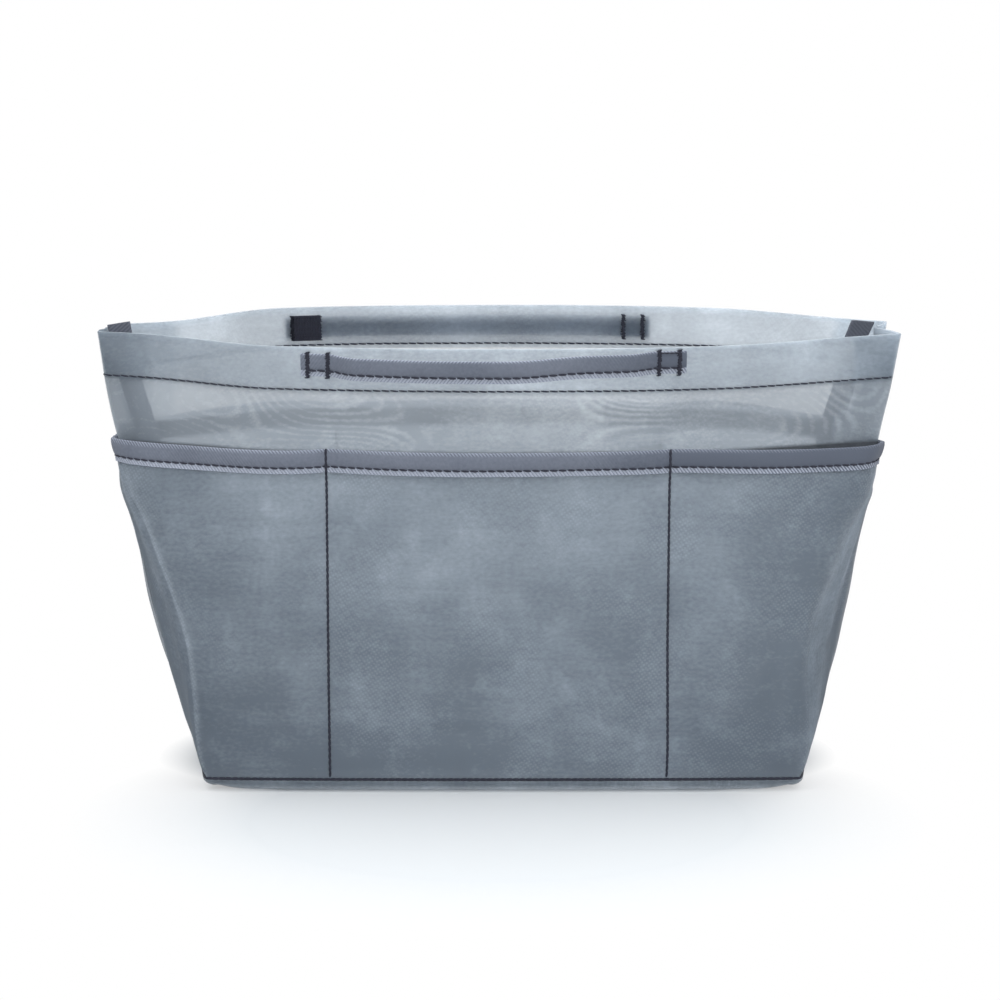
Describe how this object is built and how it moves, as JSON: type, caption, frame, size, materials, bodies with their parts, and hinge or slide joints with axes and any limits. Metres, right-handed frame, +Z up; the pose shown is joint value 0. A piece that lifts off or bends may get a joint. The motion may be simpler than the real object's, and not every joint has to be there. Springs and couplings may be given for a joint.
{
  "type": "purse organizer insert",
  "caption": "Free-standing tote-shaped handbag insert of sheer stiff mesh, with bound outer pockets on both faces, an open main compartment and a short tape handle on each hem.",
  "frame": {"origin": "on the surface it stands on, under the middle of the floor panel", "axes": "+X along the width towards the right end as seen from the front, +Y from the front face to the back face, +Z up out of the open mouth"},
  "size_m": [0.306, 0.1064, 0.172],
  "materials": {
    "mesh": "sheer woven nylon with a soft sheen",
    "tape": "matte twill tape with diagonal ribs",
    "thread": "twisted polyester sewing thread"
  },
  "bodies": {
    "organizer": {"front_body": "mesh", "front_hem": "mesh", "front_hem_stitching": "thread", "front_pocket": "mesh", "front_pocket_binding": "tape", "front_binding_stitching": "thread", "front_left_divider_stitching": "thread", "front_right_divider_stitching": "thread", "front_handle_left_end": "tape", "front_handle_left_inner_tack": "thread", "front_handle_left_outer_tack": "thread", "front_handle_right_end": "tape", "front_handle_right_inner_tack": "thread", "front_handle_right_outer_tack": "thread", "back_body": "mesh", "back_hem": "mesh", "back_hem_stitching": "thread", "back_pocket": "mesh", "back_pocket_binding": "tape", "back_binding_stitching": "thread", "back_left_divider_stitching": "thread", "back_right_divider_stitching": "thread", "back_handle_left_end": "tape", "back_handle_left_inner_tack": "thread", "back_handle_left_outer_tack": "thread", "back_handle_right_end": "tape", "back_handle_right_inner_tack": "thread", "back_handle_right_outer_tack": "thread", "bottom_panel": "mesh", "bottom_seam_binding": "tape", "bottom_seam_stitching": "thread", "left_seam_binding": "tape", "left_seam_stitching": "thread", "right_seam_binding": "tape", "right_seam_stitching": "thread"},
    "front_handle": {"front_handle_strap": "tape", "front_handle_stitching": "thread"},
    "back_handle": {"back_handle_strap": "tape", "back_handle_stitching": "thread"}
  },
  "joints": [
    {"name": "front_handle_swing", "type": "hinge", "parent": "organizer", "child": "front_handle", "pos_m": [0, -0.04643, 0.1649], "axis": [-1, 0, 0], "range_deg": [-60, 90]},
    {"name": "back_handle_swing", "type": "hinge", "parent": "organizer", "child": "back_handle", "pos_m": [-0.01167, 0.04626, 0.1649], "axis": [0.9998, 0.0202, 0], "range_deg": [-60, 90]}
  ]
}
